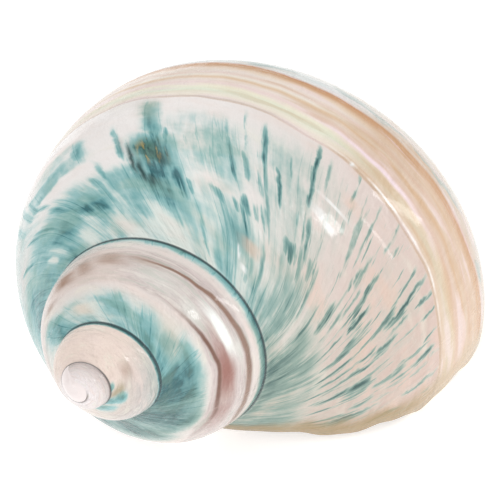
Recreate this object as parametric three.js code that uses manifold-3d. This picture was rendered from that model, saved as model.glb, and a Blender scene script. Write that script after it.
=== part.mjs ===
// A turban snail's shell, lying mouth down as it would on a table.
// One coiled tube grows by a fixed ratio each turn about a straight axis, so every whorl is an enlarged
// copy of the one before it. The tube is hollow from the mouth back into the spire. Millimetres, +Z up.
import * as THREE from "three";
import { mergeVertices } from "three/addons/utils/BufferGeometryUtils.js";
import Module from "manifold-3d";

const wasm = await Module();
wasm.setup();

// Driving dimensions
const SUTURE_RADIUS = 18.2; // from the axis to the seam where the lip meets the whorl above it
const EXPANSION = 2.114; // growth in size over one whole turn
const TURNS = 3.5; // whorls from the first, rounded end to the lip
const CHAMBER_TURNS = 1.25; // how far the hollow runs back from the lip
const WALL = 2.1; // wall thickness of the last whorl
const LIP_EDGE = 0.9; // wall thickness at the rim of the mouth
const LIP_TAPER = 0.22; // turns over which the wall thins out towards the rim
const FIRST_WHORL_TAPER = 0.3; // turns over which the first whorl rounds off to a point
const REST_FLAT = 0.3; // depth worn flat where the shell touches the table

// The whorl's section: distance from the axis, and depth below the tip, both in suture radii.
// It runs from the seam over the shoulder and the side to the next seam, then under the base to the pillar.
const SEAM = new THREE.Vector2(1, 1.445);
const SIDE = [
  new THREE.Vector2(0.93, 1.397),
  new THREE.Vector2(1.354, 1.687),
  new THREE.Vector2(1.699, 1.934),
  new THREE.Vector2(1.944, 2.243),
  new THREE.Vector2(2.064, 2.628),
  SEAM.clone().multiplyScalar(EXPANSION),
  new THREE.Vector2(2.044, 3.382),
  new THREE.Vector2(1.74, 3.798),
  new THREE.Vector2(1.42, 3.97),
  new THREE.Vector2(1.0, 4.03),
  new THREE.Vector2(0.55, 3.93),
  new THREE.Vector2(0.2, 3.66),
];
// The side of the tube towards the axis, from the pillar back up to the seam. Older whorls hide it.
const PILLAR = [
  SIDE.at(-1),
  new THREE.Vector2(0.06, 3.35),
  new THREE.Vector2(0.05, 2.75),
  new THREE.Vector2(0.07, 2.1),
  new THREE.Vector2(0.3, 1.6),
  SIDE[0],
];
const BASE_REACH = 0.9; // where the base turns towards the pillar
const SECTION_CENTRE = new THREE.Vector2(1.08, 2.8);
const SIDE_POINTS = 25;
const PILLAR_POINTS = 5;
const COLUMELLA = 0.12; // radius of the solid pillar on the axis, in suture radii at its foot
const COLUMELLA_FOOT = 2.0; // depth of that foot below the tip, in suture radii
const COLUMELLA_HEAD = 0.17;

// Inside, the hollow keeps clear of the pillar, and its roof is the base of the whorl above it.
const HOLLOW_PILLAR = [
  new THREE.Vector2(0.4, 3.45),
  new THREE.Vector2(0.32, 3.0),
  new THREE.Vector2(0.3, 2.5),
];
const ROOF_FROM = 9; // points of the side that make up that roof, last to first
const ROOF_TO = 6;
const ROOF_WALL = 0.05; // glaze laid over the roof, in suture radii

// The rim of the mouth lies in one plane. Its facing and distance from the tip, in the spire's own frame.
const MOUTH_FACING = new THREE.Vector3(0.818, -0.515, -0.257).normalize();
const MOUTH_DISTANCE = 1.253; // in suture radii
// Turns by which the rim stays behind its seam on its way across the base to the pillar.
const PILLAR_LAG = 0.1;

// How the shell lies: the direction that points at the table, and the turn that brings the tip to the
// front left.
const REST_DOWN = new THREE.Vector3(0.8351, -0.4557, -0.3083).normalize();
const REST_HEADING = THREE.MathUtils.degToRad(-94.8);

const TURN = 2 * Math.PI;
const STEPS_NEAR_LIP = 16; // rings in each half turn of the last whorl
const STEPS_IN_SPIRE = 14;
const STEPS_IN_HOLLOW = 28;

// Size of the tube after some turns of growth, counted from the lip, where it is 1.
const growth = (turns) => EXPANSION ** turns;

// The angle, in turns, by which a growth line lags behind its own seam at a point of the section.
// Every growth line has lain in a plane like the mouth's, so the lag is where that plane cuts the whorl.
function lag(point) {
  const height = (turns) => {
    const angle = TURN * turns;
    const around = MOUTH_FACING.x * Math.cos(angle) + MOUTH_FACING.y * Math.sin(angle);
    return growth(-turns) * (point.x * around - MOUTH_FACING.z * point.y) - MOUTH_DISTANCE;
  };
  let [early, late] = [-0.05, 0.16];
  for (let i = 0; i < 40; i++) {
    const middle = (early + late) / 2;
    if (height(middle) > 0) early = middle;
    else late = middle;
  }
  const underBase = point.x < BASE_REACH;
  return underBase ? Math.max(PILLAR_LAG, early) : early;
}

// The direction across the section, away from the tube, at one of a run of points.
function outwardAt(points, i) {
  const ahead = points[Math.min(i + 1, points.length - 1)];
  const behind = points[Math.max(i - 1, 0)];
  const along = ahead.clone().sub(behind).normalize();
  return new THREE.Vector2(along.y, -along.x);
}

// Evenly shared lags for points that join two others.
const lagsBetween = (from, to, count) =>
  Array.from({ length: count }, (_, i) => from + ((to - from) * (i + 1)) / (count + 1));

const SIDE_RUN = new THREE.SplineCurve(SIDE).getSpacedPoints(SIDE_POINTS - 1);

// The tube's outside, as points with their lags.
function outerSection() {
  const pillar = new THREE.SplineCurve(PILLAR).getSpacedPoints(PILLAR_POINTS + 1).slice(1, -1);
  const lags = SIDE_RUN.map(lag);
  lags.push(...lagsBetween(PILLAR_LAG, lags[0], PILLAR_POINTS));
  return [...SIDE_RUN, ...pillar].map((point, i) => ({ point, lag: lags[i] }));
}

// The hollow, as points with their lags: inside of the side, then the pillar, then the roof.
function hollowSection(wall) {
  const side = SIDE_RUN.map((point, i) => ({
    point: point.clone().addScaledVector(outwardAt(SIDE_RUN, i), -wall),
    lag: lag(point),
  })).filter((_, i) => i >= 2 && i < SIDE_POINTS - 1 && i % 2 === 0);
  const roof = [];
  for (let i = ROOF_FROM; i >= ROOF_TO; i--) {
    const point = SIDE[i].clone().divideScalar(EXPANSION);
    point.addScaledVector(outwardAt(SIDE, i), ROOF_WALL);
    roof.push({ point, lag: lag(SIDE[i]) });
  }
  const lags = lagsBetween(side.at(-1).lag, roof[0].lag, HOLLOW_PILLAR.length);
  const pillar = HOLLOW_PILLAR.map((point, i) => ({ point, lag: lags[i] }));
  return [...side, ...pillar, ...roof];
}

// A point of the section carried round the axis, in the spire's frame: tip at the origin, spire upwards.
function carried(point, turns) {
  const angle = TURN * turns;
  const size = SUTURE_RADIUS * growth(turns);
  return new THREE.Vector3(
    size * point.x * Math.cos(angle),
    -size * point.x * Math.sin(angle),
    -size * point.y,
  );
}

// One ring of the tube's outside. The first whorl closes to a rounded end.
const OUTER_SECTION = outerSection();
function outerRing(turns) {
  const fromStart = THREE.MathUtils.clamp((turns + TURNS) / FIRST_WHORL_TAPER, 0.02, 1);
  const fullness = Math.sqrt(1 - (1 - fromStart) ** 2);
  return OUTER_SECTION.map(({ point, lag }) =>
    carried(SECTION_CENTRE.clone().lerp(point, fullness), turns - lag),
  );
}

// One ring of the hollow, a wall's thickness inside the tube.
function hollowRing(turns) {
  const fromLip = THREE.MathUtils.smoothstep(-turns / LIP_TAPER, 0, 1);
  const wall = THREE.MathUtils.lerp(LIP_EDGE, WALL, fromLip) / SUTURE_RADIUS;
  return hollowSection(wall).map(({ point, lag }) => carried(point, turns - lag));
}

// A closed solid through rings of equal length, with a fan of triangles over each end.
function solidThrough(rings) {
  const count = rings[0].length;
  const middle = (ring) => ring.reduce((sum, p) => sum.add(p), new THREE.Vector3()).divideScalar(count);
  const vertices = [...rings.flat(), middle(rings[0]), middle(rings.at(-1))];
  const startMiddle = rings.length * count;
  const index = [];
  rings.slice(1).forEach((_, row) => {
    for (let i = 0; i < count; i++) {
      const [a, b] = [row * count + i, row * count + ((i + 1) % count)];
      index.push(a, a + count, b, b, a + count, b + count);
    }
  });
  const lastRow = (rings.length - 1) * count;
  for (let i = 0; i < count; i++) {
    const next = (i + 1) % count;
    index.push(startMiddle, i, next);
    index.push(startMiddle + 1, lastRow + next, lastRow + i);
  }
  const geometry = new THREE.BufferGeometry().setFromPoints(vertices);
  geometry.setIndex(index);
  return toSolid(geometry);
}

function toSolid(geometry) {
  geometry.deleteAttribute("normal");
  geometry.deleteAttribute("uv");
  const merged = mergeVertices(geometry, 1e-5);
  return new wasm.Manifold(
    new wasm.Mesh({
      numProp: 3,
      vertProperties: merged.attributes.position.array,
      triVerts: new Uint32Array(merged.index.array),
    }),
  );
}

function toGeometry(solid) {
  const mesh = solid.getMesh();
  const geometry = new THREE.BufferGeometry();
  geometry.setAttribute("position", new THREE.BufferAttribute(mesh.vertProperties, 3));
  geometry.setIndex(new THREE.BufferAttribute(mesh.triVerts, 1));
  return geometry;
}

// The angles of the rings from one turn count to another, both ends included.
const ringTurns = (from, to, steps) =>
  Array.from({ length: steps + 1 }, (_, i) => from + ((to - from) * i) / steps);

// The outside is joined from stretches of half a turn. The hollow is one tube, cut out of it through
// the mouth.
function coiledShell() {
  const stretch = 0.5;
  let shell = pillar();
  for (let end = 0; end > -TURNS; end -= stretch) {
    const start = Math.max(end - stretch, -TURNS);
    const steps = end > -1 ? STEPS_NEAR_LIP : STEPS_IN_SPIRE;
    shell = shell.add(solidThrough(ringTurns(start, end, steps).map(outerRing)));
  }
  const beyondLip = 0.15;
  const hollow = ringTurns(-CHAMBER_TURNS, beyondLip, STEPS_IN_HOLLOW).map(hollowRing);
  return shell.subtract(solidThrough(hollow));
}

// The solid pillar on the axis, a slim cone from the tip down into the last whorl.
function pillar() {
  const foot = SUTURE_RADIUS * COLUMELLA_FOOT;
  const head = SUTURE_RADIUS * COLUMELLA_HEAD;
  const radius = SUTURE_RADIUS * COLUMELLA;
  const profile = [
    new THREE.Vector2(0, -foot),
    new THREE.Vector2(radius, -foot),
    new THREE.Vector2(radius * 0.15, -head),
    new THREE.Vector2(0, -head),
  ];
  const cone = new THREE.LatheGeometry(profile, 16);
  cone.rotateX(Math.PI / 2);
  return toSolid(cone);
}

// Turned to lie on its lip and its last whorl, with the lowest points worn flat and the table at zero
// height.
function laidDown(solid) {
  const down = new THREE.Vector3(0, 0, -1);
  const geometry = toGeometry(solid);
  geometry.applyQuaternion(new THREE.Quaternion().setFromUnitVectors(REST_DOWN, down));
  geometry.rotateZ(REST_HEADING);
  geometry.computeBoundingBox();
  const { min } = geometry.boundingBox;
  const table = new THREE.BoxGeometry(400, 400, 20);
  table.translate(0, 0, min.z + REST_FLAT - 10);
  const rested = toGeometry(toSolid(geometry).subtract(toSolid(table)));
  rested.computeBoundingBox();
  const box = rested.boundingBox;
  const centre = box.getCenter(new THREE.Vector3());
  rested.translate(-centre.x, -centre.y, -box.min.z);
  return rested;
}

const shellGeometry = laidDown(coiledShell());
const polishedShell = new THREE.MeshStandardMaterial({ color: 0xd9d3c8, roughness: 0.2, metalness: 0 });
const shell = new THREE.Mesh(shellGeometry, polishedShell);
shell.name = "shell";

const seaSnailShell = new THREE.Group();
seaSnailShell.add(shell);
export default seaSnailShell;
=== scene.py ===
"""Looks of a polished turban snail shell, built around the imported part."""

import math

import bmesh
import bpy
from mathutils import Matrix, Vector
from mathutils.geometry import interpolate_bezier


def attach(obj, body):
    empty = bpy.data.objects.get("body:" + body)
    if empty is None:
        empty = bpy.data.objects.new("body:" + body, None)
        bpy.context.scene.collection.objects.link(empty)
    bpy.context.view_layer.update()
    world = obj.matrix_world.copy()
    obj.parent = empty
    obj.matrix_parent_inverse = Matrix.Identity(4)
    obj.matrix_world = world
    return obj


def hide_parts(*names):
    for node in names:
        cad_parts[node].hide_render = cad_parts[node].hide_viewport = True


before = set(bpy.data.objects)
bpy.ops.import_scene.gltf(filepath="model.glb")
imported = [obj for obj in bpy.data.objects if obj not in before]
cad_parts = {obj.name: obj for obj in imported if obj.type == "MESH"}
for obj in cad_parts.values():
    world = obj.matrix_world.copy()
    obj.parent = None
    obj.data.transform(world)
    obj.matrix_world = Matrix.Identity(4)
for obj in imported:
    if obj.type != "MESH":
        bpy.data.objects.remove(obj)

bl_info = {
    "name": "Turban Shell",
    "version": (1, 0, 0),
    "blender": (4, 5, 0),
    "location": "3D View > Sidebar > Shell",
    "description": "Builds a polished turban snail shell and the stage it is shown on",
    "category": "Add Mesh",
}

# The whorl's section, from seam to seam over the side, then under the base and up the pillar.
# Distance from the axis and depth below the tip, in suture radii. None stands for the next seam.
SEAM = Vector((1.0, 1.445))
SIDE = (
    (1.354, 1.687), (1.699, 1.934), (1.944, 2.243), (2.064, 2.628), None,
    (2.044, 3.382), (1.74, 3.798), (1.42, 3.97), (1.0, 4.03), (0.55, 3.93), (0.2, 3.66),
)
PILLAR = ((0.06, 3.35), (0.05, 2.75), (0.07, 2.1), (0.3, 1.6))
HOLLOW_PILLAR = ((0.42, 3.45), (0.34, 3.0), (0.3, 2.5), (0.33, 2.1), (0.42, 1.75))
SEAM_SPAN = 5  # spans of the section from one seam to the next
PILLAR_REACH = 0.9  # nearer to the axis than this, the rim is the pillar's
LAG_RANGE = (-0.05, 0.16)  # least and most turns by which the rim lags
LAG_HALVINGS = 40
RIM_ROUND = 0.004  # ring of the rounded rim, in turns past the lip
MERGE_DISTANCE = 2e-6

# The rim's scallops: depth in turns and pace along the section, in spans. They fade out behind the rim.
LONG_SCALLOPS = (0.0028, 3.47)
LONG_SCALLOP_CREST = 1.75
SHORT_SCALLOPS = (0.001, 9.5)
SCALLOP_FADE = 0.03
SCALLOP_ENDS = (0.6, 5.6)

# The dome over the first whorl: the turns its edge lies in, its rise and shrink at each step, and its place
# across the whorl in the UV map, which sets it on the light end of the first whorl's painted shade.
DOME_TURNS = 1.2
DOME_RISE = 0.16
DOME_SHRINKS = (0.75, 0.65, 0.5)
DOME_ACROSS = 0.2

# Marks along the growth lines. Each row: growth in turns from the lip, half width, from and to across the
# whorl, strength. Across the whorl, 0 is the upper seam and 1 the next one.

# Broad teal washes.
WASHES = (
    (-2.17, 0.03, -0.12, 0.1, 0.7), (-2.06, 0.04, -0.02, 0.29, 0.9), (-1.97, 0.06, -0.12, 0.24, 0.7),
    (-1.56, 0.07, -0.2, 0.34, 0.8), (-1.47, 0.07, -0.2, 0.31, 0.54), (-1.36, 0.08, -0.2, 0.33, 0.7),
    (-1.27, 0.06, -0.2, 0.29, 0.8), (-1.2, 0.06, -0.2, 0.27, 0.88), (-1.11, 0.1, -0.2, 0.35, 1.08),
    (-0.98, 0.1, -0.2, 0.38, 1.05), (-0.87, 0.07, -0.2, 0.46, 1.0), (-0.79, 0.06, -0.2, 0.62, 1.0),
    (-0.64, 0.12, -0.2, 0.36, 0.82), (-0.625, 0.06, 0.18, 0.6, 0.6), (-0.5825, 0.05, 0.34, 0.62, 0.45),
    (-0.53, 0.1, -0.12, 0.33, 0.79), (-0.5225, 0.07, 0.3, 0.64, 0.4), (-0.46, 0.07, -0.04, 0.34, 0.78),
    (-0.455, 0.05, 0.12, 0.24, 0.98), (-0.448, 0.05, 0.41, 0.53, 0.62), (-0.432, 0.03, 0.51, 0.6, 0.5),
    (-0.4, 0.1, -0.2, 0.24, 0.38), (-0.375, 0.05, 0.1, 0.36, 0.95), (-0.355, 0.03, 0.25, 0.52, 0.95),
    (-0.352, 0.012, 0.46, 0.73, 0.68), (-0.3, 0.05, 0.3, 0.66, 0.5), (-0.3, 0.06, -0.16, 0.32, 0.64),
    (-0.25, 0.05, -0.16, 0.3, 0.62), (-0.22, 0.06, 0.2, 0.72, 0.42), (-0.2, 0.05, -0.16, 0.28, 0.62),
    (-0.13, 0.1, -0.16, 0.22, 0.68), (-0.07, 0.1, 0.14, 0.74, 0.28), (-0.02, 0.08, -0.16, 0.22, 0.66),
)
# Single teal streaks.
STREAKS = (
    (-0.675, 0.01, 0.05, 0.42, 0.7), (-0.598, 0.008, 0.02, 0.22, 0.68), (-0.563, 0.006, 0.22, 0.36, 0.7),
    (-0.521, 0.008, 0.18, 0.36, 0.72), (-0.512, 0.006, 0.1, 0.34, 0.82), (-0.4995, 0.012, 0.38, 0.6, 0.42),
    (-0.481, 0.006, 0.36, 0.62, 0.55), (-0.478, 0.01, 0.16, 0.34, 0.76), (-0.472, 0.005, 0.34, 0.54, 0.65),
    (-0.459, 0.005, 0.41, 0.5, 0.6), (-0.438, 0.009, 0.43, 0.5, 0.6), (-0.425, 0.008, 0.1, 0.34, 0.76),
    (-0.419, 0.008, 0.42, 0.6, 0.66), (-0.412, 0.004, 0.2, 0.42, 0.62), (-0.386, 0.004, 0.34, 0.6, 0.5),
    (-0.35, 0.007, 0.14, 0.6, 0.95), (-0.341, 0.004, 0.36, 0.56, 0.8), (-0.338, 0.008, 0.2, 0.36, 0.9),
    (-0.329, 0.0034, 0.04, 0.18, 0.56), (-0.327, 0.006, 0.23, 0.31, 0.72),
    (-0.322, 0.0076, 0.43, 0.52, 0.51), (-0.316, 0.0102, 0.36, 0.44, 0.42),
    (-0.311, 0.0026, 0.4, 0.58, 0.51), (-0.306, 0.0043, 0.21, 0.32, 0.56),
    (-0.306, 0.0127, 0.12, 0.21, 0.56), (-0.304, 0.008, 0.24, 0.31, 0.66),
    (-0.291, 0.0085, 0.43, 0.52, 0.6), (-0.287, 0.007, 0.25, 0.32, 0.6), (-0.285, 0.0043, 0.53, 0.64, 0.51),
    (-0.284, 0.0055, 0.37, 0.58, 0.72), (-0.281, 0.0085, 0.19, 0.32, 0.6),
    (-0.279, 0.0102, 0.06, 0.18, 0.51), (-0.276, 0.008, 0.25, 0.34, 0.72),
    (-0.27, 0.0043, 0.38, 0.53, 0.65), (-0.268, 0.0026, 0.5, 0.73, 0.47), (-0.266, 0.006, 0.24, 0.32, 0.66),
    (-0.262, 0.006, -0.02, 0.25, 0.76), (-0.2555, 0.006, 0.22, 0.46, 0.8),
    (-0.2515, 0.0055, 0.38, 0.68, 0.62), (-0.239, 0.0026, 0.36, 0.52, 0.88),
    (-0.228, 0.0043, 0.49, 0.61, 0.51), (-0.225, 0.0102, 0.23, 0.3, 0.7),
    (-0.219, 0.0026, 0.34, 0.44, 0.47), (-0.217, 0.008, 0.24, 0.31, 0.66),
    (-0.214, 0.0034, 0.28, 0.45, 0.74), (-0.211, 0.0043, 0.06, 0.32, 0.7), (-0.21, 0.0034, 0.44, 0.6, 0.84),
    (-0.209, 0.0026, 0.52, 0.73, 0.93), (-0.206, 0.0051, 0.23, 0.42, 0.79),
    (-0.203, 0.01, 0.23, 0.31, 0.62), (-0.198, 0.0029, 0.46, 0.71, 0.6), (-0.19, 0.0043, 0.12, 0.33, 0.74),
    (-0.174, 0.0022, 0.58, 0.75, 0.55), (-0.17, 0.0029, 0.09, 0.26, 0.74),
    (-0.161, 0.0029, 0.36, 0.49, 0.51), (-0.153, 0.0058, 0.2, 0.33, 0.87),
    (-0.149, 0.0022, 0.26, 0.43, 0.74), (-0.144, 0.0029, 0.39, 0.53, 0.69),
    (-0.141, 0.0036, 0.16, 0.33, 0.64), (-0.137, 0.0022, 0.27, 0.42, 0.78),
    (-0.132, 0.0022, 0.57, 0.75, 0.57), (-0.13, 0.0029, 0.39, 0.53, 0.72),
    (-0.124, 0.0022, 0.17, 0.32, 0.6), (-0.12, 0.0022, 0.32, 0.45, 0.83),
    (-0.106, 0.0029, 0.17, 0.33, 0.78), (-0.096, 0.0029, 0.16, 0.33, 0.87),
    (-0.096, 0.0029, 0.4, 0.54, 0.69), (-0.092, 0.0022, 0.48, 0.75, 0.74),
    (-0.086, 0.0022, 0.18, 0.45, 0.87), (-0.084, 0.0022, 0.46, 0.61, 0.69),
    (-0.08, 0.0022, 0.65, 0.75, 0.66), (-0.079, 0.0029, 0.41, 0.54, 0.64),
    (-0.076, 0.0029, 0.18, 0.48, 0.83), (-0.068, 0.0016, 0.65, 0.75, 0.66),
    (-0.064, 0.0029, 0.2, 0.35, 0.69), (-0.061, 0.0043, 0.33, 0.4, 0.78),
    (-0.053, 0.0016, 0.64, 0.75, 0.64), (-0.053, 0.0022, 0.46, 0.58, 0.74),
    (-0.049, 0.0036, 0.39, 0.55, 0.66), (-0.042, 0.0029, 0.56, 0.71, 0.74),
    (-0.039, 0.0043, 0.34, 0.43, 0.66), (-0.036, 0.0022, 0.67, 0.75, 0.57),
    (-0.033, 0.0022, 0.42, 0.56, 0.66), (-0.028, 0.0022, 0.16, 0.48, 0.69),
    (-0.02, 0.0022, 0.55, 0.75, 0.6),
)
# Pale gaps in the washes.
GAPS = (
    (-1.44, 0.05, 0.07, 0.22, 0.25), (-1.21, 0.04, 0.1, 0.32, 0.2), (-0.562, 0.007, 0.09, 0.15, 0.8),
    (-0.545, 0.008, 0.05, 0.18, 0.5), (-0.5, 0.02, -0.02, 0.11, 0.5), (-0.47, 0.018, 0.0, 0.15, 0.5),
    (-0.436, 0.014, -0.02, 0.14, 0.75), (-0.397, 0.014, 0.36, 0.78, 0.95),
    (-0.37, 0.016, -0.04, 0.19, 0.75), (-0.327, 0.008, -0.02, 0.13, 0.55), (-0.286, 0.012, 0.0, 0.16, 0.5),
    (-0.258, 0.012, 0.09, 0.27, 0.6), (-0.184, 0.007, 0.02, 0.36, 0.55),
)
# A green-black arc, and the mottled heart beside it.
DARK_STAINS = (
    (-0.384, 0.003, 0.4, 0.5, 0.3), (-0.377, 0.0026, 0.3, 0.45, 0.9), (-0.371, 0.0032, 0.26, 0.36, 0.95),
    (-0.364, 0.0045, 0.25, 0.3, 0.75), (-0.347, 0.005, 0.34, 0.4, 0.6),
)
HEART = ((-0.356, 0.011, 0.36, 0.47, 1.1),)
# Ochre and brown stains.
OCHRE_STAINS = (
    (-2.115, 0.03, 0.02, 0.24, 0.6), (-1.2, 0.04, 0.1, 0.26, 0.3), (-0.355, 0.01, 0.6, 0.74, 0.28),
)
BROWN_STAINS = (
    (-2.165, 0.032, 0.26, 0.47, 0.45), (-1.505, 0.02, 0.38, 0.47, 0.5), (-1.445, 0.028, 0.48, 0.69, 0.95),
    (-1.395, 0.018, 0.5, 0.73, 0.65), (-1.345, 0.028, 0.58, 0.75, 0.65), (-1.29, 0.03, 0.65, 0.75, 0.4),
)
# On the whorl before the last: cream in the teal; on the pearly band, a rosy tint darkened as painted shade, a
# pale painted sheen and a painted highlight.
CREAM = ((-1.45, 0.026, 0.1, 0.2, 0.7), (-1.215, 0.028, 0.22, 0.34, 0.35))
PAINTED_ROSY_SHADE = ((-1.075, 0.06, 0.46, 0.62, 0.95), (-1.0, 0.04, 0.44, 0.62, 0.55))
PAINTED_SHEEN = ((-1.25, 0.05, 0.45, 0.68, 0.5), (-1.19, 0.03, 0.43, 0.58, 0.8), (-1.09, 0.02, 0.66, 0.73, 0.7))
PAINTED_GLEAM = ((-1.133, 0.036, 0.58, 0.67, 1.5),)
# A blush, and small glints painted pale on the last whorl: painted highlights.
BLUSH = ((-0.256, 0.011, 0.145, 0.19, 0.55), (-0.18, 0.007, 0.58, 0.63, 0.4))
PAINTED_GLINTS = (
    (-0.272, 0.0014, 0.11, 0.15, 0.9), (-0.265, 0.005, 0.088, 0.106, 0.85),
    (-0.2, 0.006, 0.452, 0.488, 0.75), (-0.193, 0.0025, 0.742, 0.766, 0.9),
    (-0.191, 0.012, 0.53, 0.543, 0.7), (-0.187, 0.005, 0.44, 0.468, 0.65),
)

# Colours, in display values.
COLOURS = {
    "white ground": "f6f1ee",
    "warm ground": "d2b9ad",
    "left ground": "dad6d3",
    "ground before": "e9ded8",
    "seam ground": "dfece3",
    "early ground": "f5e2d6",
    "pink cloud": "f0dcd3",
    "cream cloud": "f3eedd",
    "peach cloud": "dcae92",
    "green teal": "8fb09c",
    "ochre": "8f8148",
    "cream": "ead9c8",
    "green black": "173d3c",
    "right tan": "cba480",
    "left tan": "c8ab98",
    "tan": "d2ac84",
    "pink": "f3dfe0",
    "fleck": "9fb6b2",
    "painted_crest_highlight": "fffaf5",
    "rosy line": "fbe6ee",
    "left pearl": "ead9cf",
    "painted sheen": "e8e8e0",
    "painted rosy shade": "a06a5e",
    "painted gleam": "fdfffa",
    "inner line": "7a5443",
    "outer line": "8e6a56",
    "brown": "a3806a",
    "blush": "edc3ab",
    "painted glint": "fdfdfb",
    "seam": "33474b",
    "first seam": "5d4a44",
    "lip": "ac946c",
    "far lip": "cdb698",
    "rim": "e6d2b4",
}
RAMPS = {
    # Painted shade: the whorl two before the last, darker towards its lower seam.
    "shaded whorl": ((0.1, "e2d5c9"), (0.5, "cdc4bf"), (0.85, "bcc0ba")),
    # Painted light and shade: the first whorl lightest where the dome sits, darker towards its lower seam.
    "first whorl": ((0.1, "fcf3f3"), (0.5, "efe4e1"), (1.0, "c9bdba")),
    "teal": (
        (0.0, "eef0ec"), (0.2, "d5e4e0"), (0.45, "a5cccb"),
        (0.7, "7db3b4"), (0.88, "558f94"), (1.0, "336c72"),
    ),
    "dull teal": ((0.0, "e2d6cb"), (0.25, "bfc6b9"), (0.5, "93a89c"), (0.8, "637f78"), (1.0, "3f5f5b")),
    "heart": (
        (0.3, "244f4a"), (0.42, "4d7a6e"), (0.5, "2f5850"),
        (0.54, "9a8c52"), (0.61, "c6b070"), (0.7, "557a6c"),
    ),
    "last pearl": (
        (0.06, "f4ebe6"), (0.1, "ecd3bf"), (0.125, "f1e3d4"), (0.19, "f3ecdc"), (0.25, "e8edd8"),
        (0.33, "f5efd8"), (0.39, "f2dcd6"), (0.45, "f3e6dc"), (0.5, "e4c6a6"), (0.55, "f5ecdf"),
        (0.6, "edd6c8"), (0.66, "f3e6da"), (0.72, "efd9c2"), (0.8, "d3a47c"), (0.88, "c98f60"),
        (0.905, "dccabc"), (0.94, "ebebe8"), (1.0, "e3e8e6"),
    ),
    "base": ((0.34, "b9bfb4"), (0.44, "d6cec0"), (0.54, "cdb9a6"), (0.66, "dfd8cc")),
    "second pearl": ((0.36, "c6c2b9"), (0.46, "dccdc9"), (0.54, "cbbdb9"), (0.64, "e2d7d0")),
    "inner pearl": ((0.3, "d5ddd0"), (0.45, "efe6dc"), (0.58, "ead3cf"), (0.72, "dfe4d4")),
}

# Growth-line noise: name, fineness along the growth and across the whorl.
LINE_SETS = (
    ("Broad", 44.0, 2.6),
    ("Fine", 150.0, 8.0),
    ("Dashes", 200.0, 4.5),
    ("Patches", 30.0, 11.0),
    ("Ridges", 64.0, 0.8),
)
LINE_DETAIL, LINE_ROUGHNESS = 3.0, 0.55
GROWTH_MAP = "Growth"  # UV map: growth in turns from the lip, place across the whorl
MARK_EDGE = 0.4  # strength left at a mark's edge

# Over the last third of a turn the growth lines lean, and bend back next to the seam. Before that they bow.
LEAN_TURNS = (-0.36, -0.26)
LEAN_BEND, LEAN_BEND_ROUND = 0.13, 0.005
LEAN_END, LEAN, LEAN_SHIFT = 0.63, 0.1, -0.009
BOW_FROM, BOW_TO = (-0.38, -0.54), (-0.8, -0.7)
BOW_MIDDLE, BOW_END, BOW = 0.15, 0.4, 0.6

# Finish of the outside, and of the inside where it differs.
BUMP_STRENGTH, BUMP_DISTANCE = 0.5, 0.0006
SPECULAR = 0.3
COAT = 0.4
COAT_ROUGHNESS, INNER_COAT_ROUGHNESS = 0.06, 0.1
INNER_ROUGHNESS = 0.28
LIP_SHARE = 0.9

# Stage: lights as name, place, width, height for strips alone, and power.
LIGHTS = (
    ("top_box", (-0.15, -0.1, 0.7), 0.6, None, 1.2),
    ("back_box", (-0.15, 0.6, 0.45), 0.5, None, 0.5),
    ("front_box", (0.31, -0.48, 0.345), 0.12, None, 0.52),
    ("key_strip", (0.567, -0.289, 0.165), 0.04, 0.25, 0.22),
    ("side_strip", (0.6, 0.01, 0.12), 0.03, 0.24, 0.2),
)
LIGHTS_AIM = (0.0, 0.0, 0.02)
FLOOR_HALF = 2.0
FLOOR_COLOUR, FLOOR_ROUGHNESS, FLOOR_GLOW = (0.85, 0.85, 0.85, 1), 0.9, 0.5
WHITE = (1, 1, 1, 1)
ROOM_LIGHT = 0.6
SENSOR_WIDTH = 36.0
CLIP_END = 10.0


def linear(hexcode):
    """A colour given in display values, as the linear values that shaders take."""
    channels = (int(hexcode[i : i + 2], 16) / 255 for i in (0, 2, 4))
    return (*(c / 12.92 if c <= 0.04045 else ((c + 0.055) / 1.055) ** 2.4 for c in channels), 1.0)


def clamped(value):
    return min(max(value, 0.0), 1.0)


class ShellSettings(bpy.types.PropertyGroup):
    """Form of the shell."""

    suture_radius: bpy.props.FloatProperty(
        name="Suture Radius",
        description="From the axis to the seam at the lip",
        default=0.0182,
        unit="LENGTH",
        precision=4,
    )
    expansion: bpy.props.FloatProperty(
        name="Expansion", description="Growth in size over one turn", default=2.114
    )
    turns: bpy.props.FloatProperty(name="Turns", description="Whorls from the first to the lip", default=3.4)
    steps: bpy.props.IntProperty(name="Steps", description="Rings in one turn", default=120)
    span_points: bpy.props.IntProperty(
        name="Span Points", description="Mesh points between section points", default=8
    )
    hollow_turns: bpy.props.FloatProperty(
        name="Hollow Turns", description="How far the hollow runs back", default=1.2
    )
    base_turns: bpy.props.FloatProperty(
        name="Base Turns", description="How far back the base is made", default=1.35
    )
    wall: bpy.props.FloatProperty(
        name="Wall", description="Thickness of the last whorl", default=0.0021, unit="LENGTH", precision=4
    )
    lip_edge: bpy.props.FloatProperty(
        name="Lip Edge", description="Thickness at the rim", default=0.0009, unit="LENGTH", precision=4
    )
    lip_taper: bpy.props.FloatProperty(
        name="Lip Taper", description="Turns over which the wall thins", default=0.22
    )
    mouth_facing: bpy.props.FloatVectorProperty(
        name="Mouth Facing", description="Direction the rim's plane faces", default=(0.818, -0.515, -0.257)
    )
    mouth_distance: bpy.props.FloatProperty(
        name="Mouth Distance", description="Rim's plane from the tip, in suture radii", default=1.253
    )
    pillar_lag: bpy.props.FloatProperty(
        name="Pillar Lag", description="Turns the rim lags at the pillar", default=0.1
    )
    rest_down: bpy.props.FloatVectorProperty(
        name="Rest Down", description="Direction that faces the table", default=(0.8351, -0.4557, -0.3083)
    )
    rest_heading: bpy.props.FloatProperty(
        name="Rest Heading", description="Turn on the table", default=math.radians(-94.8), subtype="ANGLE"
    )
    tip: bpy.props.FloatVectorProperty(
        name="Tip",
        description="Where the spire's tip lies",
        default=(-0.0253076, -0.0247889, 0.0273315),
        unit="LENGTH",
    )


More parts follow.
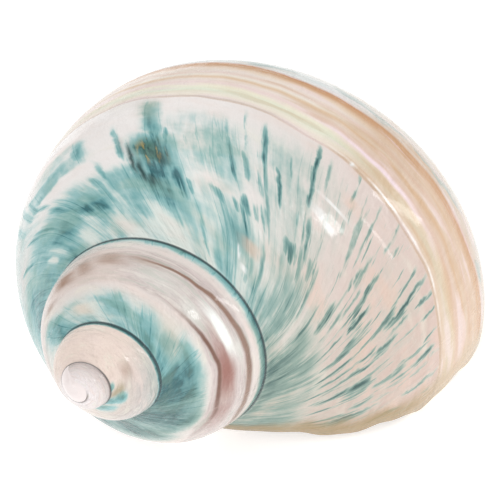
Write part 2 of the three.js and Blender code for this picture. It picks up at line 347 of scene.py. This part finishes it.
class StageSettings(bpy.types.PropertyGroup):
    """Camera of the stage."""

    camera_place: bpy.props.FloatVectorProperty(
        name="Camera Place",
        description="Where the camera stands",
        default=(0.0007863, -0.3262199, 0.3582303),
        unit="LENGTH",
    )
    camera_turn: bpy.props.FloatVectorProperty(
        name="Camera Turn",
        description="How the camera is turned",
        default=tuple(math.radians(a) for a in (43.69916, 7.03206, -7.26784)),
        subtype="EULER",
    )
    focal_length: bpy.props.FloatProperty(
        name="Focal Length", description="Lens in millimetres", default=259.2
    )


def growth(settings, turns):
    return settings.expansion**turns


def control_points(settings):
    """The section's points, with the next seam worked out from the first."""
    side = [Vector(p) if p else SEAM * settings.expansion for p in SIDE]
    return [SEAM.copy(), *side]


def smooth_run(points, span_points):
    """A smooth run of points through the given ones."""
    ends = [points[0], *points, points[-1]]
    run = []
    for before, start, end, after in zip(ends, ends[1:], ends[2:], ends[3:]):
        first, second = start + (end - before) / 6, end - (after - start) / 6
        span = interpolate_bezier(start.to_3d(), first.to_3d(), second.to_3d(), end.to_3d(), span_points + 1)
        run += [p.to_2d() for p in span[:-1]]
    return run + [points[-1]]


def inset(points, amount):
    """Points moved towards the tube's hollow."""
    moved = []
    for i, point in enumerate(points):
        along = (points[min(i + 1, len(points) - 1)] - points[max(i - 1, 0)]).normalized()
        moved.append(point + amount * Vector((-along.y, along.x)))
    return moved


def rim_lag(settings, point):
    """Turns by which a growth line lags behind its seam: where the rim's plane cuts the whorl."""
    facing = Vector(settings.mouth_facing).normalized()
    early, late = LAG_RANGE
    for _ in range(LAG_HALVINGS):
        middle = (early + late) / 2
        angle = math.tau * middle
        around = facing.x * math.cos(angle) + facing.y * math.sin(angle)
        if growth(settings, -middle) * (point.x * around - facing.z * point.y) > settings.mouth_distance:
            early = middle
        else:
            late = middle
    return max(early, settings.pillar_lag) if point.x < PILLAR_REACH else early


def lags_along(settings, run, seam_index):
    """Lag of each point of the section, nudged near the seam so that the whorls close on each other."""
    lags = [rim_lag(settings, p) for p in run]
    wanted = round((lags[seam_index] - lags[0]) * settings.steps) / settings.steps
    nudge = lags[seam_index] - wanted - lags[0]
    reach = seam_index // 3
    for i in range(reach):
        lags[i] += nudge * (1 - i / reach) ** 2
    return lags


def carried(settings, point, turns):
    """A point of the section carried round the axis. The tip is at the origin, with the spire upwards."""
    size = settings.suture_radius * growth(settings, turns)
    angle = math.tau * turns
    return Vector((size * point.x * math.cos(angle), -size * point.x * math.sin(angle), -size * point.y))


def unevenness(settings, ring, i):
    """Turns by which the scalloped rim runs ahead or behind. They fade out away from the rim."""
    along = i / settings.span_points
    first, last = SCALLOP_ENDS
    shown = clamped(1 + ring / SCALLOP_FADE) * clamped(along / first) * clamped(last - along)
    long_depth, long_pace = LONG_SCALLOPS
    short_depth, short_pace = SHORT_SCALLOPS
    long_wave = long_depth * math.cos(long_pace * (along - LONG_SCALLOP_CREST))
    return shown * (long_wave + short_depth * math.sin(short_pace * along))


def spiral_sheet(bm, settings, layers, rings, places, where, material):
    """A sheet of faces whose rows are rings of growth and whose columns are places in the section."""
    place, turn, uv = layers
    made = bmesh.ops.create_grid(bm, x_segments=len(rings) - 1, y_segments=len(places) - 1, size=1.0)["verts"]
    for v in made:
        ring = rings[round((v.co.x + 1) / 2 * (len(rings) - 1))]
        v[place] = places[round((v.co.y + 1) / 2 * (len(places) - 1))]
        v[turn] = ring
        v.co = where(ring, v[place])
    for face in {f for v in made for f in v.link_faces}:
        face.smooth = True
        face.material_index = material
        for loop in face.loops:
            loop[uv].uv = (loop.vert[turn], loop.vert[place] / (SEAM_SPAN * settings.span_points))


def hollow_run(settings, ring):
    """The hollow's section at a ring, thin at the rim and thicker inside. A ring past the lip rounds the rim."""
    rounding = ring > 0
    depth = clamped(-ring / settings.lip_taper)
    thickness = settings.lip_edge + (settings.wall - settings.lip_edge) * depth * depth * (3 - 2 * depth)
    if rounding:
        thickness = settings.lip_edge / 2
    controls = control_points(settings)
    inner = inset(controls, thickness / settings.suture_radius)[:-1] + [Vector(p) for p in HOLLOW_PILLAR]
    if rounding:
        outer = [*controls, *(Vector(p) for p in PILLAR)]
        last = len(controls) - 1
        inner = [*inner[:last], *((a + b) / 2 for a, b in zip(outer[last:], inner[last:]))]
    return smooth_run(inner, settings.span_points)


def round_off_tip(bm, settings, layers):
    """Closes the first whorl with a low dome."""
    place, turn, uv = layers
    before = set(bm.faces)
    edge_end, start = DOME_TURNS - settings.turns, 1e-4 - settings.turns
    early = [e for e in bm.edges if e.is_boundary and all(v[turn] < edge_end for v in e.verts)]
    edges = [e for e in early if all(v[place] == 0 for v in e.verts) or all(v[turn] < start for v in e.verts)]
    rim = list(dict.fromkeys(v for e in edges for v in e.verts))
    centre = sum((v.co for v in rim), Vector()) / len(rim)
    rise = DOME_RISE * sum((v.co - centre).length for v in rim) / len(rim)
    for shrink in DOME_SHRINKS:
        made = bmesh.ops.extrude_edge_only(bm, edges=edges)["geom"]
        edges = [g for g in made if isinstance(g, bmesh.types.BMEdge)]
        points = [g for g in made if isinstance(g, bmesh.types.BMVert)]
        bmesh.ops.scale(bm, vec=(shrink, shrink, shrink), space=Matrix.Translation(-centre), verts=points)
        bmesh.ops.translate(bm, vec=(0, 0, rise), verts=points)
    bmesh.ops.pointmerge(bm, verts=points, merge_co=sum((v.co for v in points), Vector()) / len(points))
    for face in set(bm.faces) - before:
        face.smooth = True
        for loop in face.loops:
            loop[uv].uv = (-settings.turns, DOME_ACROSS)


def shell_mesh(settings):
    """The whole shell as one mesh, lying as it rests."""
    seam = SEAM_SPAN * settings.span_points
    run = smooth_run([*control_points(settings), *(Vector(p) for p in PILLAR)], settings.span_points)
    lags = lags_along(settings, run, seam)
    bm = bmesh.new()
    layers = (
        bm.verts.layers.int.new("place"),
        bm.verts.layers.float.new("turn"),
        bm.loops.layers.uv.new(GROWTH_MAP),
    )
    place = layers[0]

    def rings(turns):
        return [-i / settings.steps for i in range(round(turns * settings.steps) + 1)]

    hollow_rings = [RIM_ROUND, *rings(settings.hollow_turns)]
    hollow_runs = {ring: hollow_run(settings, ring) for ring in hollow_rings}

    def outside(ring, i):
        return carried(settings, run[i], ring - lags[i] + unevenness(settings, ring, i))

    def inside(ring, i):
        return carried(settings, hollow_runs[ring][i], ring - lags[i] + unevenness(settings, ring, i))

    def rim(ring, i):
        return inside(ring, i) if ring else outside(ring, i)

    side, base = list(range(seam + 1)), list(range(seam, len(run)))
    whole = side + base[1:]
    spiral_sheet(bm, settings, layers, rings(settings.turns), side, outside, 0)
    spiral_sheet(bm, settings, layers, rings(settings.base_turns), base, outside, 0)
    spiral_sheet(bm, settings, layers, hollow_rings, whole, inside, 1)
    spiral_sheet(bm, settings, layers, [0.0, RIM_ROUND], whole, rim, 1)
    for edge in bm.edges:
        edge.smooth = not all(v[place] == 0 for v in edge.verts)
    bmesh.ops.remove_doubles(bm, verts=bm.verts[:], dist=MERGE_DISTANCE)
    round_off_tip(bm, settings, layers)
    bmesh.ops.recalc_face_normals(bm, faces=bm.faces[:])
    rest = Vector(settings.rest_down).rotation_difference(Vector((0, 0, -1))).to_matrix().to_4x4()
    lie = Matrix.Translation(settings.tip) @ Matrix.Rotation(settings.rest_heading, 4, "Z") @ rest
    bmesh.ops.transform(bm, matrix=lie, verts=bm.verts[:])
    for v in bm.verts:
        v.co.z = max(v.co.z, 0.0)
    mesh = bpy.data.meshes.new("shell_looks")
    bm.to_mesh(mesh)
    bm.free()
    return mesh


class Graph:
    """Short calls for placing and joining shader nodes."""

    def __init__(self, tree):
        self.tree = tree

    def node(self, kind, values=(), **options):
        made = self.tree.nodes.new(kind)
        for name, value in options.items():
            setattr(made, name, value)
        for key, value in dict(values).items():
            self.put(made.inputs[key], value)
        return made

    def put(self, socket, value):
        """Joins a socket to another one, or sets it to a value or to a colour given by name."""
        if isinstance(value, bpy.types.NodeSocket):
            self.tree.links.new(value, socket)
        else:
            socket.default_value = linear(COLOURS[value]) if isinstance(value, str) else value

    def math(self, operation, *values):
        return self.node("ShaderNodeMath", enumerate(values), operation=operation).outputs[0]

    def chain(self, operation, values):
        result = values[0]
        for value in values[1:]:
            result = self.math(operation, result, value)
        return result

    def add(self, *values):
        return self.chain("ADD", values)

    def times(self, *values):
        return self.chain("MULTIPLY", values)

    def most(self, *values):
        return self.chain("MAXIMUM", values)

    def minus(self, a, b):
        return self.math("SUBTRACT", a, b)

    def away(self, a, b):
        return self.math("ABSOLUTE", self.minus(a, b))

    def smooth(self, value, low, high, start=0.0, end=1.0):
        values = {"Value": value, "From Min": low, "From Max": high, "To Min": start, "To Max": end}
        made = self.node("ShaderNodeMapRange", values, interpolation_type="SMOOTHSTEP", clamp=False)
        return made.outputs[0]

    def straight(self, value, low, high, start=0.0, end=1.0):
        values = {"Value": value, "From Min": low, "From Max": high, "To Min": start, "To Max": end}
        return self.node("ShaderNodeMapRange", values).outputs[0]

    def spread(self, noise, reach):
        """Noise as a shift to either side."""
        return self.straight(noise, 0.0, 1.0, -reach, reach)

    def mix(self, share, a, b):
        made = self.node("ShaderNodeMix", data_type="RGBA")
        for key, value in ((0, share), (6, a), (7, b)):
            self.put(made.inputs[key], value)
        return made.outputs[2]

    def layered(self, colour, *layers):
        """A colour with others laid over it, each given as its share and itself."""
        for share, over in layers:
            colour = self.mix(share, colour, over)
        return colour

    def noise(self, turn, tau, around, across, detail, roughness=0.5, distortion=0.0):
        """Noise on the whorl, with its fineness around it and across it."""
        at = self.node("ShaderNodeCombineXYZ", {"X": self.times(turn, around), "Y": self.times(tau, across)})
        values = {
            "Vector": at.outputs[0],
            "Scale": 1.0,
            "Detail": detail,
            "Roughness": roughness,
            "Distortion": distortion,
        }
        return self.node("ShaderNodeTexNoise", values).outputs["Fac"]

    def ramp(self, value, name):
        made = self.node("ShaderNodeValToRGB", {"Fac": value})
        elements, stops = made.color_ramp.elements, RAMPS[name]
        while len(elements) < len(stops):
            elements.new(1.0)
        for element, (place, hexcode) in zip(elements, stops):
            element.position = place
            element.color = linear(hexcode)
        return made.outputs["Color"]

    def group(self, tree, **values):
        made = self.node("ShaderNodeGroup", node_tree=tree)
        for name, value in values.items():
            self.put(made.inputs[name], value)
        return made.outputs

    def growth_place(self):
        """Growth in turns from the lip, and place across the whorl."""
        uv = self.node("ShaderNodeUVMap", uv_map=GROWTH_MAP).outputs[0]
        place = self.node("ShaderNodeSeparateXYZ", {0: uv}).outputs
        return place[0], place[1]

    def surface(self, values):
        """Fills in the material's Principled shader."""
        shader = self.tree.nodes["Principled BSDF"]
        for name, value in values.items():
            self.put(shader.inputs[name], value)


def new_group(name, inputs, outputs):
    """An empty node group with number sockets, and the graph to fill it with."""
    tree = bpy.data.node_groups.new(name, "ShaderNodeTree")
    for socket in inputs:
        tree.interface.new_socket(socket, in_out="INPUT", socket_type="NodeSocketFloat")
    for socket in outputs:
        tree.interface.new_socket(socket, in_out="OUTPUT", socket_type="NodeSocketFloat")
    graph = Graph(tree)
    start = graph.node("NodeGroupInput").outputs
    end = graph.node("NodeGroupOutput").inputs
    return graph, start, end


def mark_group():
    """Adds one mark to a mask of marks: a soft stroke with tapered ends."""
    inputs = ("Mask", "Growth", "Across", "Place", "Width", "Middle", "Reach", "Strength")
    graph, start, end = new_group("Mark", inputs, ("Mask",))
    beside = graph.math("DIVIDE", graph.minus(start["Growth"], start["Place"]), start["Width"])
    along = graph.math("DIVIDE", graph.minus(start["Across"], start["Middle"]), start["Reach"])
    along = graph.times(along, along)
    away = graph.math("MULTIPLY_ADD", beside, beside, graph.times(along, along))
    mark = graph.times(graph.math("POWER", MARK_EDGE, away), start["Strength"])
    graph.put(end["Mask"], graph.most(start["Mask"], mark))
    return graph.tree


def band_group():
    """A soft-edged band that runs along the whorl."""
    graph, start, end = new_group("Spiral Band", ("Across", "From", "To", "Fade"), ("Mask",))
    across, fade = start["Across"], start["Fade"]
    first = graph.smooth(across, graph.minus(start["From"], fade), graph.add(start["From"], fade))
    last = graph.smooth(across, graph.minus(start["To"], fade), graph.add(start["To"], fade), 1.0, 0.0)
    graph.put(end["Mask"], graph.times(first, last))
    return graph.tree


def growth_lines_group():
    """Noise drawn out along the growing edge, in sets of different fineness."""
    graph, start, end = new_group("Growth Lines", ("Grown", "Across"), [name for name, *_ in LINE_SETS])
    for name, along, across in LINE_SETS:
        noise = graph.noise(start["Grown"], start["Across"], along, across, LINE_DETAIL, LINE_ROUGHNESS)
        graph.put(end[name], noise)
    return graph.tree


class ShellGraph(Graph):
    """A graph for the outside. It knows where a point lies on the whorls and which growth lines cross it."""

    def __init__(self, tree, expansion):
        super().__init__(tree)
        self.mark_tree, self.band_tree = mark_group(), band_group()
        self.turn, self.tau = self.growth_place()
        self.grown = self.growth_line()
        # Length grown, so that lines are as fine on a small whorl as on a large one.
        length = self.math("DIVIDE", self.math("POWER", expansion, self.grown), math.log(expansion))
        lines = self.group(growth_lines_group(), Grown=length, Across=self.tau)
        self.broad, self.fine, self.dashes = lines["Broad"], lines["Fine"], lines["Dashes"]
        self.patches, self.ridges = lines["Patches"], lines["Ridges"]
        # Places shifted a little, so that no mark has a ruled edge.
        self.turn_at = self.add(self.grown, self.spread(self.patches, 0.008))
        self.near = self.add(self.grown, self.spread(self.patches, 0.005))
        self.ragged = self.add(self.turn, self.spread(self.fine, 0.007))
        jag = self.add(self.spread(self.broad, 0.06), self.spread(self.patches, 0.03))
        jag_share = self.smooth(self.turn, -0.95, -0.75, 0.4, 1.0)
        self.tau_at = self.math("MULTIPLY_ADD", jag, jag_share, self.tau)
        wobble = self.noise(self.turn, self.tau, 18.0, 3.0, 2.0)
        self.wavy = self.add(self.tau, self.spread(wobble, 0.03))
        self.cloud = self.noise(self.turn, self.tau, 14.0, 7.0, 3.0)
        self.lustre = self.noise(self.turn, self.wavy, 16.0, 22.0, 2.0)
        self.first_whorl = self.smooth(self.turn, -2.75, -2.6, 1.0, 0.0)

    def growth_line(self):
        """Growth counted along the growth lines, which don't run straight across the whorl."""
        bent = self.minus(self.tau, LEAN_BEND)
        bent = self.math("SQRT", self.math("MULTIPLY_ADD", bent, bent, LEAN_BEND_ROUND))
        short = self.most(self.minus(LEAN_END, bent), 0.0)
        lean = self.math("MULTIPLY_ADD", self.times(short, short), LEAN, LEAN_SHIFT)
        grown = self.minus(self.turn, self.times(lean, self.smooth(self.turn, *LEAN_TURNS)))
        bow = self.minus(self.math("MINIMUM", self.tau, BOW_END), BOW_MIDDLE)
        bowed = self.times(self.smooth(self.turn, *BOW_FROM, 0.0, BOW), self.smooth(self.turn, *BOW_TO))
        return self.math("MULTIPLY_ADD", self.times(bow, bow), bowed, grown)

    def marks(self, rows, growth_at, across):
        """A mask of marks, with one group for each row."""
        mask = 0.0
        for place, width, low, high, strength in rows:
            form = {"Place": place, "Width": width, "Middle": (low + high) / 2, "Reach": (high - low) / 2}
            outputs = self.group(
                self.mark_tree, Mask=mask, Growth=growth_at, Across=across, Strength=strength, **form
            )
            mask = outputs["Mask"]
        return mask

    def band(self, across, low, high, fade):
        return self.group(self.band_tree, Across=across, From=low, To=high, Fade=fade)["Mask"]


def ground_colour(graph):
    """Whiter on the left of the last whorl, warmer towards the lip, cream on the early whorls, with painted
    shade on the oldest ones and painted light on the dome.
    """
    turn, tau, cloud = graph.turn, graph.tau, graph.cloud
    warmth = graph.smooth(turn, -0.33, -0.05)
    left = graph.smooth(turn, -0.5, -0.6)
    before_last = graph.smooth(turn, -0.75, -0.9)
    near_seam = graph.smooth(tau, 0.12, 0.4, 0.7, 0.0)
    near_seam = graph.times(near_seam, graph.smooth(turn, -0.32, -0.18, 1.0, 0.3))
    early = graph.smooth(turn, -1.95, -1.75, 1.0, 0.0)
    # Painted shade on the whorl two before the last.
    shaded = graph.times(graph.smooth(turn, -2.24, -2.06), graph.smooth(turn, -1.95, -1.8, 1.0, 0.0))
    pink = graph.smooth(cloud, 0.45, 0.7, 0.0, 0.5)
    cream = graph.smooth(cloud, 0.3, 0.45, 0.4, 0.0)
    peach = graph.times(graph.smooth(cloud, 0.5, 0.68, 0.0, 0.45), warmth)
    return graph.layered(
        "white ground",
        (warmth, "warm ground"),
        (left, "left ground"),
        (before_last, "ground before"),
        (near_seam, "seam ground"),
        (early, "early ground"),
        (shaded, graph.ramp(tau, "shaded whorl")),
        # The first whorl: painted light at the dome, painted shade towards its lower seam.
        (graph.first_whorl, graph.ramp(tau, "first whorl")),
        (pink, "pink cloud"),
        (cream, "cream cloud"),
        (peach, "peach cloud"),
    )


def teal_laid(graph):
    """How much teal was laid down: washes, streaks, dashes near the lip and a band above the seam."""
    turn, tau = graph.turn, graph.tau
    gaps = graph.marks(GAPS, graph.turn_at, graph.tau_at)
    wash = graph.times(graph.marks(WASHES, graph.turn_at, graph.tau_at), graph.minus(1.0, gaps))
    faintest = graph.smooth(turn, -0.4, -0.3, 1.0, 0.58)
    broken = graph.smooth(graph.dashes, 0.38, 0.56, faintest, 1.2)
    streaks = graph.times(graph.marks(STREAKS, graph.near, graph.tau_at), broken)
    dashes = graph.times(
        graph.smooth(graph.dashes, 0.46, 0.66),
        graph.smooth(turn, -0.3, -0.12, 0.0, 0.66),
        graph.band(tau, 0.2, 0.71, 0.04),
    )
    above_seam = graph.times(
        graph.add(graph.straight(turn, -1.4, -1.1, 0.6, 1.05), graph.smooth(turn, -1.6, -1.8)),
        graph.smooth(turn, -0.9, -0.86, 1.0, 0.0),
        graph.smooth(graph.tau_at, 0.85, 1.0),
        graph.smooth(tau, 1.0, 1.03, 1.0, 0.0),
        graph.smooth(turn, -3.0, -2.6),
    )
    return graph.most(wash, streaks, dashes, above_seam)


def teal_depth(graph, laid):
    """The teal that shows, broken up along the growth lines and edged with fine threads."""
    turn = graph.turn
    grain = graph.add(graph.spread(graph.broad, 0.7), graph.spread(graph.fine, 0.7))
    grain = graph.add(grain, graph.spread(graph.patches, 0.5))
    grain = graph.math("MULTIPLY_ADD", grain, graph.smooth(turn, -1.0, -0.3, 0.28, 0.95), 1.0)
    mottle = graph.times(graph.spread(graph.cloud, 0.7), graph.smooth(turn, -0.8, -1.0))
    shown = graph.straight(graph.times(laid, graph.add(grain, mottle)), 0.08, 1.08)
    thread = graph.smooth(graph.away(graph.ridges, 0.5), 0.0, 0.02, 0.18, 0.0)
    return graph.add(graph.times(thread, graph.smooth(laid, 0.15, 0.6)), shown)


def teal_layer(graph):
    """Teal, greener in clouds, and duller at the lip and where the last whorl begins."""
    turn = graph.turn
    teal = teal_depth(graph, teal_laid(graph))
    greener = graph.smooth(graph.cloud, 0.48, 0.62, 0.0, 0.3)
    duller = graph.times(graph.smooth(turn, -1.2, -0.98, 0.0, 0.6), graph.smooth(turn, -0.78, -0.7, 1.0, 0.0))
    duller = graph.add(duller, graph.smooth(turn, -0.34, -0.13, 0.0, 0.94))
    pigment = graph.layered(
        graph.ramp(teal, "teal"), (greener, "green teal"), (duller, graph.ramp(teal, "dull teal"))
    )
    return graph.smooth(teal, 0.0, 0.55), pigment


def last_pearl_layer(graph):
    """Pearly stripes of the last whorl, and its base, with a painted highlight along the ridge."""
    turn, tau, wavy, lustre = graph.turn, graph.tau, graph.wavy, graph.lustre
    tan = graph.times(graph.smooth(lustre, 0.5, 0.68), graph.smooth(turn, -0.34, -0.2, 0.15, 0.5))
    flecks = graph.times(graph.smooth(graph.patches, 0.52, 0.64, 0.0, 0.7), graph.smooth(tau, 1.06, 1.09))
    # A pale line painted along the ridge above the pearly stripes: a painted highlight.
    painted_crest_highlight = graph.times(
        graph.band(wavy, 0.752, 0.762, 0.006),
        graph.band(turn, -0.2, -0.07, 0.03),
        graph.smooth(graph.broad, 0.38, 0.58, 0.2, 1.0),
    )
    rosy = graph.times(graph.band(wavy, 0.835, 0.85, 0.012), graph.band(turn, -0.22, -0.13, 0.03))
    colour = graph.layered(
        graph.ramp(graph.straight(wavy, 0.7, 1.1), "last pearl"),
        (graph.smooth(turn, -0.23, -0.17, 0.0, 0.56), "right tan"),
        (graph.smooth(turn, -0.34, -0.46, 0.0, 0.5), "left tan"),
        (tan, "tan"),
        (graph.smooth(lustre, 0.32, 0.46, 0.5, 0.0), "pink"),
        (flecks, "fleck"),
        (graph.smooth(tau, 1.1, 1.3, 0.0, 0.85), graph.ramp(graph.broad, "base")),
        (painted_crest_highlight, "painted_crest_highlight"),
        (rosy, "rosy line"),
    )
    return graph.times(graph.smooth(wavy, 0.73, 0.745), graph.smooth(turn, -0.8, -0.5)), colour


def second_pearl_layer(graph):
    """Pearly band of the whorl before the last, between two brown lines, with painted sheen, painted shade and a
    painted highlight.
    """
    turn, wavy, turn_at = graph.turn, graph.wavy, graph.turn_at
    inner_path = graph.straight(turn, -1.22, -1.1, 0.405, 0.468)
    inner_line = graph.smooth(graph.away(wavy, inner_path), 0.006, 0.03, 0.95, 0.0)
    inner_shown = graph.times(graph.smooth(turn, -1.27, -1.13), graph.smooth(turn, -1.05, -0.95, 1.0, 0.2))
    outer_path = graph.straight(turn, -1.29, -1.08, 0.705, 0.78)
    outer_width = graph.straight(turn, -1.25, -1.03, 0.018, 0.05)
    outer_line = graph.math("DIVIDE", graph.away(wavy, outer_path), outer_width)
    outer_line = graph.smooth(outer_line, 0.3, 1.2, 0.9, 0.0)
    outer_shown = graph.smooth(turn, -1.34, -1.24)
    colour = graph.layered(
        graph.ramp(graph.lustre, "second pearl"),
        (graph.smooth(turn, -1.28, -1.36, 0.0, 0.65), "left pearl"),
        # Painted light on the pearly band: pale painted sheen, a rosy tint darkened as painted shade, and a
        # painted highlight.
        (graph.marks(PAINTED_SHEEN, turn_at, wavy), "painted sheen"),
        (graph.marks(PAINTED_ROSY_SHADE, turn_at, wavy), "painted rosy shade"),
        (graph.marks(PAINTED_GLEAM, turn_at, wavy), "painted gleam"),
        (graph.times(inner_line, inner_shown), "inner line"),
        (graph.times(outer_line, outer_shown), "outer line"),
    )
    inner_edge = graph.straight(turn, -0.96, -0.82, 0.4, 0.73)
    return graph.times(graph.band(wavy, inner_edge, 0.83, 0.025), graph.band(turn, -1.46, -0.7, 0.05)), colour


def seam_layer(graph):
    """Dark thread in the seam, thicker on the older whorls."""
    turn, tau = graph.turn, graph.tau
    older = graph.smooth(turn, -1.0, -2.0)
    upper_edge = graph.math("MULTIPLY_ADD", older, 0.03, graph.smooth(turn, -2.7, -3.0, 0.014, 0.1))
    lower_edge = graph.math("MULTIPLY_ADD", older, 0.1, 0.02)
    upper = graph.smooth(tau, 0.004, upper_edge, 1.0, 0.0)
    lower = graph.smooth(graph.minus(1.0, tau), 0.003, lower_edge, 1.0, 0.0)
    lower = graph.times(lower, graph.smooth(turn, -0.9, -0.88, 1.0, 0.0))
    share = graph.times(graph.most(upper, lower), graph.smooth(turn, -3.25, -3.1, 0.0, 0.9))
    return share, graph.mix(graph.first_whorl, "seam", "first seam")


def lip_layer(graph):
    """Cream margin along the lip."""
    margin = graph.smooth(graph.add(graph.turn, graph.spread(graph.patches, 0.012)), -0.027, -0.008)
    return graph.times(margin, LIP_SHARE), graph.mix(graph.smooth(graph.tau, 0.55, 0.9), "lip", "far lip")


def relief(graph):
    """Height of the growth lines, the waves and the ridge above the pearly stripes."""
    ridge = graph.smooth(graph.wavy, 0.735, 0.755, 0.9, 0.0)
    ridge = graph.times(ridge, graph.smooth(graph.turn, -0.5, -0.3))
    waves = graph.math("MULTIPLY_ADD", graph.cloud, 2.0, graph.patches)
    return graph.add(graph.times(graph.fine, 0.8), graph.add(graph.broad, waves), ridge)


def new_material(name):
    material = bpy.data.materials.new(name)
    material.use_nodes = True
    return material


def shell_material(expansion):
    """The polished outside: pale ground, teal growth streaks, pearly bands."""
    material = new_material("polished_shell")
    graph = ShellGraph(material.node_tree, expansion)
    shifted, ragged = (graph.turn_at, graph.tau_at), (graph.ragged, graph.tau)
    colour = graph.layered(
        ground_colour(graph),
        teal_layer(graph),
        (graph.marks(OCHRE_STAINS, *shifted), "ochre"),
        (graph.marks(CREAM, *shifted), "cream"),
        (graph.marks(HEART, *shifted), graph.ramp(graph.fine, "heart")),
        (graph.marks(DARK_STAINS, graph.near, graph.tau), "green black"),
        last_pearl_layer(graph),
        second_pearl_layer(graph),
        (graph.marks(BROWN_STAINS, *shifted), "brown"),
        (graph.marks(BLUSH, *ragged), "blush"),
        # Painted highlights: small pale glints in the base colour.
        (graph.marks(PAINTED_GLINTS, *ragged), "painted glint"),
        seam_layer(graph),
        lip_layer(graph),
    )
    bumps = {"Strength": BUMP_STRENGTH, "Distance": BUMP_DISTANCE, "Height": relief(graph)}
    graph.surface({
        "Base Color": colour,
        "Roughness": graph.straight(graph.fine, 0.3, 0.7, 0.2, 0.3),
        "Normal": graph.node("ShaderNodeBump", bumps).outputs[0],
        "Specular IOR Level": SPECULAR,
        "Coat Weight": COAT,
        "Coat Roughness": COAT_ROUGHNESS,
    })
    return material


def pearl_material():
    """The inside and the rim."""
    material = new_material("inner_pearl")
    graph = Graph(material.node_tree)
    turn, tau = graph.growth_place()
    pearl = graph.ramp(graph.noise(turn, tau, 10.0, 5.0, 3.0, 0.5, 0.6), "inner pearl")
    graph.surface({
        "Base Color": graph.mix(graph.smooth(turn, -0.03, 0.0), pearl, "rim"),
        "Roughness": INNER_ROUGHNESS,
        "Coat Weight": COAT,
        "Coat Roughness": INNER_COAT_ROUGHNESS,
    })
    return material


class OBJECT_OT_turban_shell(bpy.types.Operator):
    """Build the shell and its polished finish"""

    bl_idname = "object.turban_shell"
    bl_label = "Turban Shell"

    def execute(self, context):
        mesh = shell_mesh(context.scene.turban_shell)
        mesh.materials.append(shell_material(context.scene.turban_shell.expansion))
        mesh.materials.append(pearl_material())
        shell = bpy.data.objects.new("shell_looks", mesh)
        context.collection.objects.link(shell)
        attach(shell, "root")
        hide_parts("shell")
        return {"FINISHED"}


def area_light(context, name, place, width, height, power):
    """A soft box that faces the shell, or a strip if it has a height."""
    data = bpy.data.lights.new(name, "AREA")
    data.energy = power
    data.size = width
    if height:
        data.shape = "RECTANGLE"
        data.size_y = height
    light = bpy.data.objects.new(name, data)
    light.location = place
    light.rotation_euler = (Vector(LIGHTS_AIM) - Vector(place)).to_track_quat("-Z", "Y").to_euler()
    context.collection.objects.link(light)


class OBJECT_OT_shell_stage(bpy.types.Operator):
    """Set up the floor, the lights and the camera"""

    bl_idname = "object.shell_stage"
    bl_label = "Shell Stage"

    def execute(self, context):
        scene = context.scene
        stage = scene.shell_stage
        bm = bmesh.new()
        bmesh.ops.create_grid(bm, x_segments=1, y_segments=1, size=FLOOR_HALF)
        mesh = bpy.data.meshes.new("floor")
        bm.to_mesh(mesh)
        bm.free()
        floor = bpy.data.objects.new("floor", mesh)
        paper = new_material("white_paper")
        Graph(paper.node_tree).surface({
            "Base Color": FLOOR_COLOUR,
            "Roughness": FLOOR_ROUGHNESS,
            "Emission Color": WHITE,
            "Emission Strength": FLOOR_GLOW,
        })
        mesh.materials.append(paper)
        context.collection.objects.link(floor)
        world = bpy.data.worlds.new("soft_room")
        world.use_nodes = True
        background = world.node_tree.nodes["Background"]
        background.inputs["Color"].default_value = WHITE
        background.inputs["Strength"].default_value = ROOM_LIGHT
        scene.world = world
        for light in LIGHTS:
            area_light(context, *light)
        camera = bpy.data.objects.new("camera", bpy.data.cameras.new("camera"))
        camera.data.lens = stage.focal_length
        camera.data.sensor_width = SENSOR_WIDTH
        camera.data.clip_end = CLIP_END
        camera.location = stage.camera_place
        camera.rotation_euler = stage.camera_turn
        context.collection.objects.link(camera)
        scene.camera = camera
        scene.view_settings.view_transform = "Standard"
        return {"FINISHED"}


class VIEW3D_PT_turban_shell(bpy.types.Panel):
    """Shell tools in the sidebar"""

    bl_label = "Turban Shell"
    bl_idname = "VIEW3D_PT_turban_shell"
    bl_space_type = "VIEW_3D"
    bl_region_type = "UI"
    bl_category = "Shell"

    def draw(self, context):
        layout = self.layout
        settings = context.scene.turban_shell
        for name in ("suture_radius", "expansion", "turns", "wall", "lip_edge"):
            layout.prop(settings, name)
        layout.operator(OBJECT_OT_turban_shell.bl_idname)
        layout.prop(context.scene.shell_stage, "focal_length")
        layout.operator(OBJECT_OT_shell_stage.bl_idname)


CLASSES = (
    ShellSettings,
    StageSettings,
    OBJECT_OT_turban_shell,
    OBJECT_OT_shell_stage,
    VIEW3D_PT_turban_shell,
)


def register():
    for cls in CLASSES:
        bpy.utils.register_class(cls)
    bpy.types.Scene.turban_shell = bpy.props.PointerProperty(type=ShellSettings)
    bpy.types.Scene.shell_stage = bpy.props.PointerProperty(type=StageSettings)


def unregister():
    del bpy.types.Scene.shell_stage
    del bpy.types.Scene.turban_shell
    for cls in reversed(CLASSES):
        bpy.utils.unregister_class(cls)


def main():
    register()
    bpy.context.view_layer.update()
    bpy.ops.object.turban_shell()
    bpy.ops.object.shell_stage()


if __name__ == "__main__":
    main()
